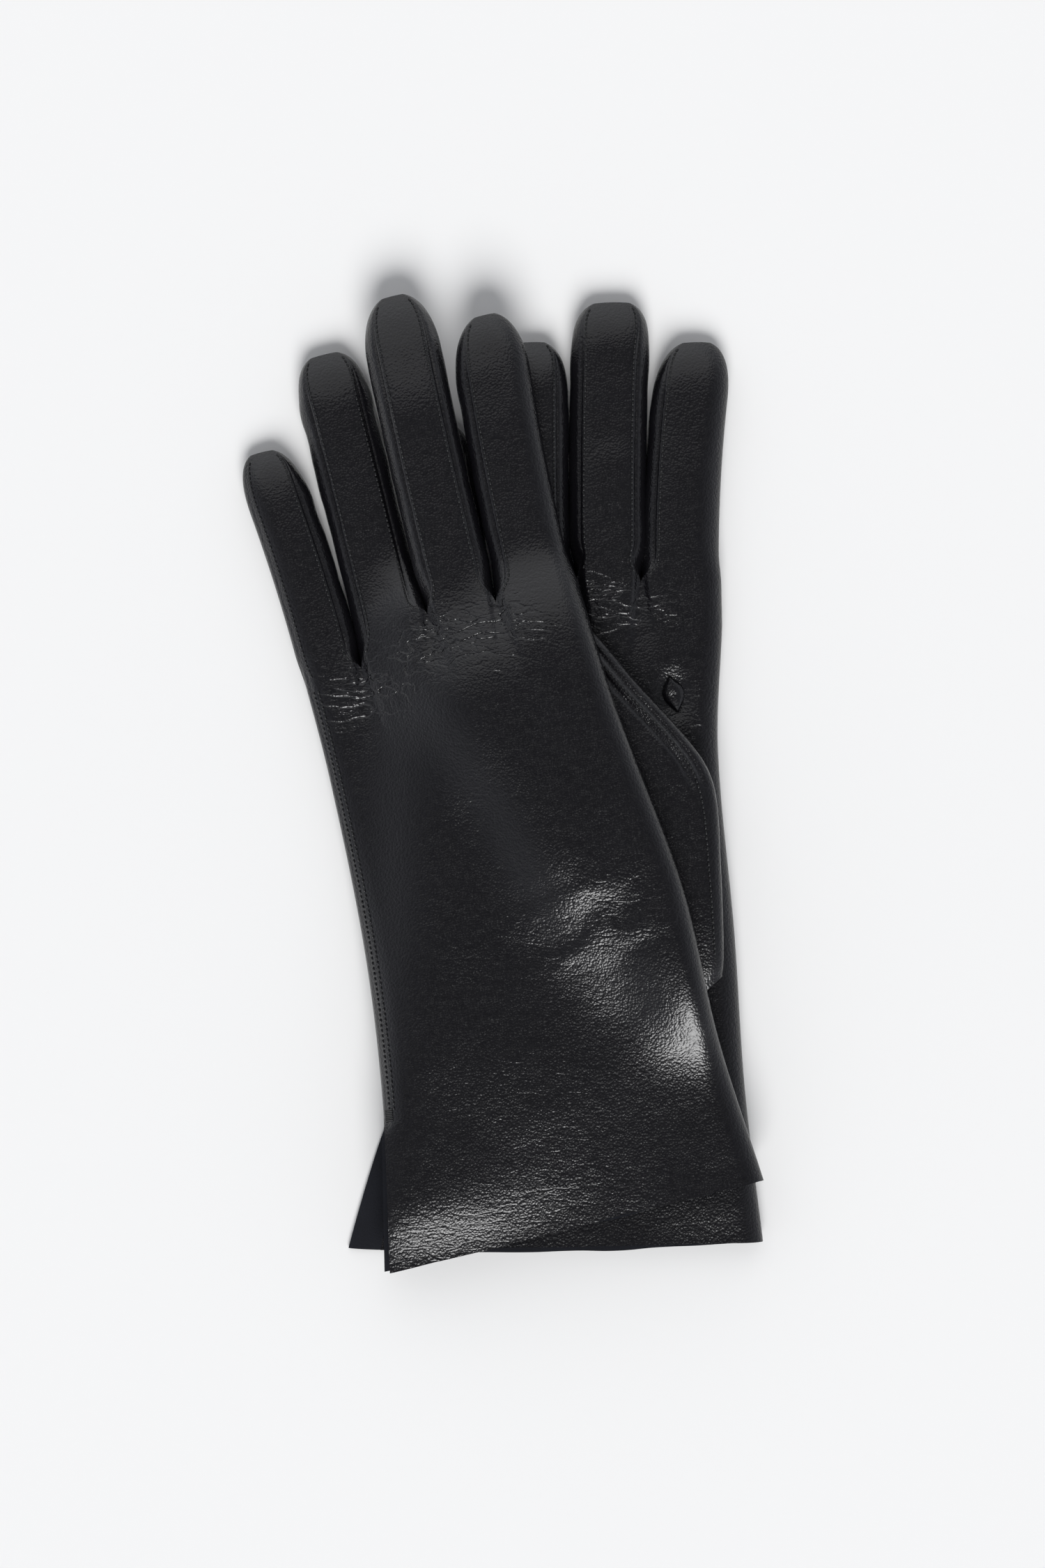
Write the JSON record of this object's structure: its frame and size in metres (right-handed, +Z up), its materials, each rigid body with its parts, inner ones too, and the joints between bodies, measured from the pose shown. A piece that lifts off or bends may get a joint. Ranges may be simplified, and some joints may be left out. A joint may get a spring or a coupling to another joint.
{
  "type": "pair of leather gloves",
  "caption": "Pair of long unlined leather gloves, the left one lying back up across the right one, which lies palm up with its thumb folded in.",
  "frame": {"origin": "centre of the pair's footprint, on the surface it lies on", "axes": "+Y to the fingertips, +X to the thumb sides, +Z up"},
  "size_m": [0.1506, 0.282, 0.0269],
  "materials": {
    "black_leather": "soft smooth nappa",
    "seam_thread": "matte thread"
  },
  "bodies": {
    "right_hand": {"right_hand_back": "black_leather", "right_hand_palm": "black_leather", "right_thumb_quirk": "black_leather", "right_side_seam": "seam_thread", "right_vent_tack": "seam_thread"},
    "left_hand": {"left_hand_back": "black_leather", "left_hand_palm": "black_leather", "left_thumb_quirk": "black_leather", "left_side_seam": "seam_thread", "left_vent_tack": "seam_thread"},
    "left_index_finger": {"left_index_back": "black_leather", "left_index_palm": "black_leather", "left_index_inner_strip": "black_leather", "left_index_seams": "seam_thread"},
    "left_middle_finger": {"left_middle_back": "black_leather", "left_middle_palm": "black_leather", "left_middle_inner_strip": "black_leather", "left_middle_outer_strip": "black_leather", "left_middle_seams": "seam_thread"},
    "left_ring_finger": {"left_ring_back": "black_leather", "left_ring_palm": "black_leather", "left_ring_inner_strip": "black_leather", "left_ring_outer_strip": "black_leather", "left_ring_seams": "seam_thread"},
    "left_little_finger": {"left_little_back": "black_leather", "left_little_palm": "black_leather", "left_little_outer_strip": "black_leather", "left_little_seams": "seam_thread"},
    "right_index_finger": {"right_index_back": "black_leather", "right_index_palm": "black_leather", "right_index_inner_strip": "black_leather", "right_index_seams": "seam_thread"},
    "right_middle_finger": {"right_middle_back": "black_leather", "right_middle_palm": "black_leather", "right_middle_inner_strip": "black_leather", "right_middle_outer_strip": "black_leather", "right_middle_seams": "seam_thread"},
    "right_ring_finger": {"right_ring_back": "black_leather", "right_ring_palm": "black_leather", "right_ring_inner_strip": "black_leather", "right_ring_outer_strip": "black_leather", "right_ring_seams": "seam_thread"},
    "right_little_finger": {"right_little_back": "black_leather", "right_little_palm": "black_leather", "right_little_outer_strip": "black_leather", "right_little_seams": "seam_thread"},
    "left_thumb": {"left_thumb_outer": "black_leather", "left_thumb_inner": "black_leather", "left_thumb_strip": "black_leather", "left_thumb_seams": "seam_thread"},
    "right_thumb": {"right_thumb_outer": "black_leather", "right_thumb_inner": "black_leather", "right_thumb_strip": "black_leather", "right_thumb_seams": "seam_thread"}
  },
  "joints": [
    {"name": "left_glove_lift", "type": "slide", "parent": "right_hand", "child": "left_hand", "axis": [0, 0, 1], "range_m": [0, 0.2]},
    {"name": "left_index_bend", "type": "hinge", "parent": "left_hand", "child": "left_index_finger", "pos_m": [0.00986, 0.05416, 0.02648], "axis": [0.9821, 0.1883, 0], "range_deg": [0, 60]},
    {"name": "left_middle_bend", "type": "hinge", "parent": "left_hand", "child": "left_middle_finger", "pos_m": [-0.01192, 0.05053, 0.02276], "axis": [0.976, 0.2176, 0], "range_deg": [0, 60]},
    {"name": "left_ring_bend", "type": "hinge", "parent": "left_hand", "child": "left_ring_finger", "pos_m": [-0.03128, 0.04117, 0.02136], "axis": [0.9703, 0.2419, 0], "range_deg": [0, 60]},
    {"name": "left_little_bend", "type": "hinge", "parent": "left_hand", "child": "left_little_finger", "pos_m": [-0.04888, 0.0306, 0.01056], "axis": [0.9546, 0.298, 0], "range_deg": [0, 60]},
    {"name": "right_index_bend", "type": "hinge", "parent": "right_hand", "child": "right_index_finger", "pos_m": [0.05125, 0.0578, 0.0092], "axis": [0.9983, -0.0575, 0], "range_deg": [0, 60]},
    {"name": "right_middle_bend", "type": "hinge", "parent": "right_hand", "child": "right_middle_finger", "pos_m": [0.03034, 0.05911, 0.0092], "axis": [0.9999, -0.0115, 0], "range_deg": [0, 60]},
    {"name": "right_ring_bend", "type": "hinge", "parent": "right_hand", "child": "right_ring_finger", "pos_m": [0.00899, 0.05426, 0.0092], "axis": [0.9999, 0.0101, 0], "range_deg": [0, 60]},
    {"name": "right_little_bend", "type": "hinge", "parent": "right_hand", "child": "right_little_finger", "pos_m": [-0.01279, 0.04781, 0.0092], "axis": [0.9958, 0.0914, 0], "range_deg": [0, 60]},
    {"name": "left_thumb_unfold", "type": "hinge", "parent": "left_hand", "child": "left_thumb", "pos_m": [0.03767, -0.02126, 0.0169], "axis": [0.2419, -0.9703, 0], "range_deg": [0, 40]},
    {"name": "right_thumb_unfold", "type": "hinge", "parent": "right_hand", "child": "right_thumb", "pos_m": [0.06677, -0.03236, 0.0097], "axis": [-0.0209, 0.9998, 0], "range_deg": [0, 70]}
  ],
  "couplings": [
    {"joint": "right_ring_bend", "follows": "left_glove_lift", "rad_per_m": 5.061},
    {"joint": "right_little_bend", "follows": "left_glove_lift", "rad_per_m": 5.061},
    {"joint": "left_thumb_unfold", "follows": "left_glove_lift", "rad_per_m": 3.403},
    {"joint": "right_thumb_unfold", "follows": "left_glove_lift", "rad_per_m": 6.021}
  ]
}
